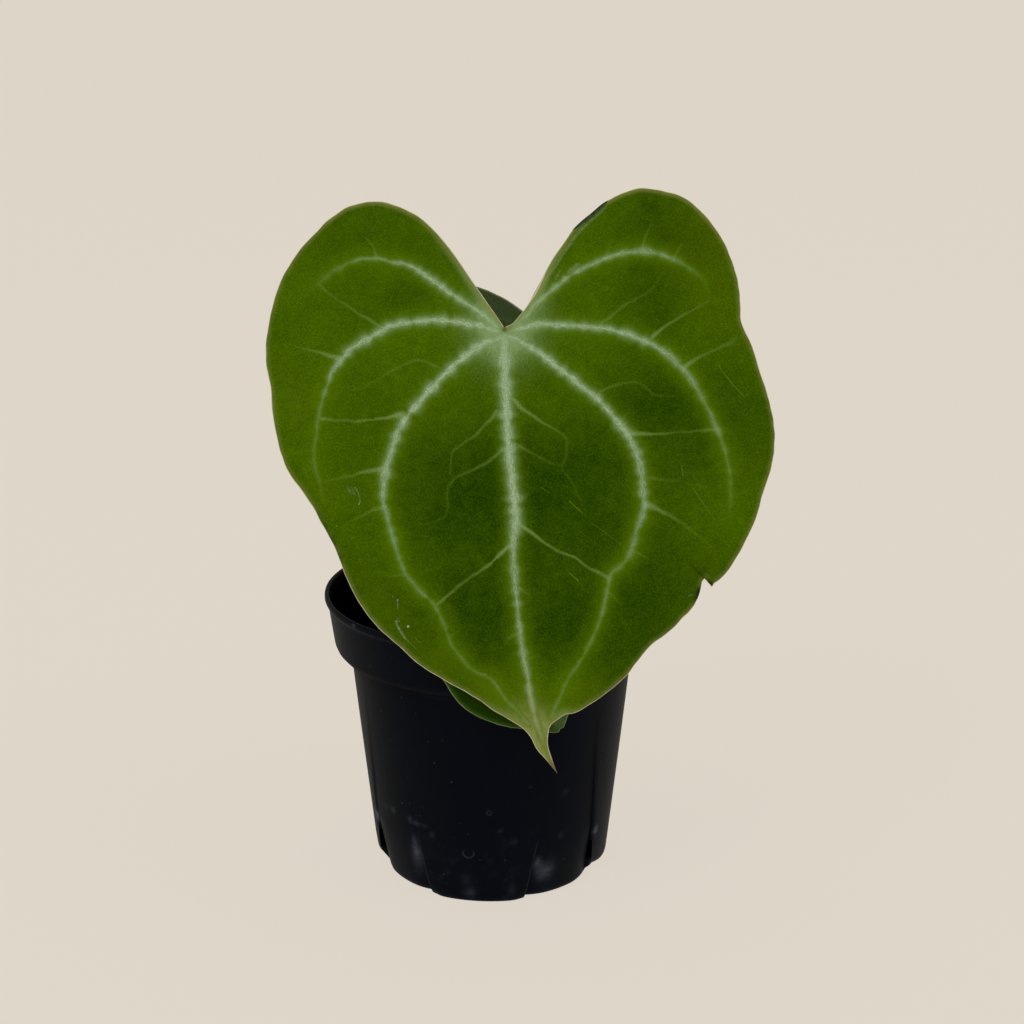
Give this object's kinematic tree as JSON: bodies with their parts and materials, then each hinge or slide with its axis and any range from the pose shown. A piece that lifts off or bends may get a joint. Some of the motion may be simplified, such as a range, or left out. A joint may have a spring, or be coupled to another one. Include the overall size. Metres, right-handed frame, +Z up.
{
  "type": "potted anthurium clarinervium hybrid",
  "caption": "Aroid houseplant with velvety heart-shaped leaves and pale raised veins, growing from bark mix in a round black nursery pot.",
  "frame": {"origin": "middle of the pot's flat underside, on the surface that the pot stands on", "axes": "+Z up; -Y towards the viewer that the large leaf faces; +X to that viewer's right"},
  "size_m": [0.1502, 0.1394, 0.2222],
  "materials": {
    "black_plastic": "thin moulded black plastic, slightly glossy and scuffed",
    "bark_mix": "dark bark chips and fibre",
    "crown": "green-brown stem with leaf scars",
    "dry_sheath": "dry papery brown scale",
    "leaf_front": "velvety olive green with pale veins",
    "leaf_back": "velvety olive green with pale veins, paler underneath",
    "leaf_low": "velvety dark green with a pale margin",
    "petiole": "smooth light green stalk"
  },
  "bodies": {
    "root": {"pot": "black_plastic", "potting_mix": "bark_mix", "stem": "crown", "sheath_1": "dry_sheath", "sheath_2": "dry_sheath", "sheath_3": "dry_sheath", "leaf_front_blade": "leaf_front", "leaf_back_blade": "leaf_back", "leaf_low_blade": "leaf_low", "leaf_front_petiole": "petiole", "leaf_back_petiole": "petiole", "leaf_low_petiole": "petiole"}
  },
  "joints": []
}
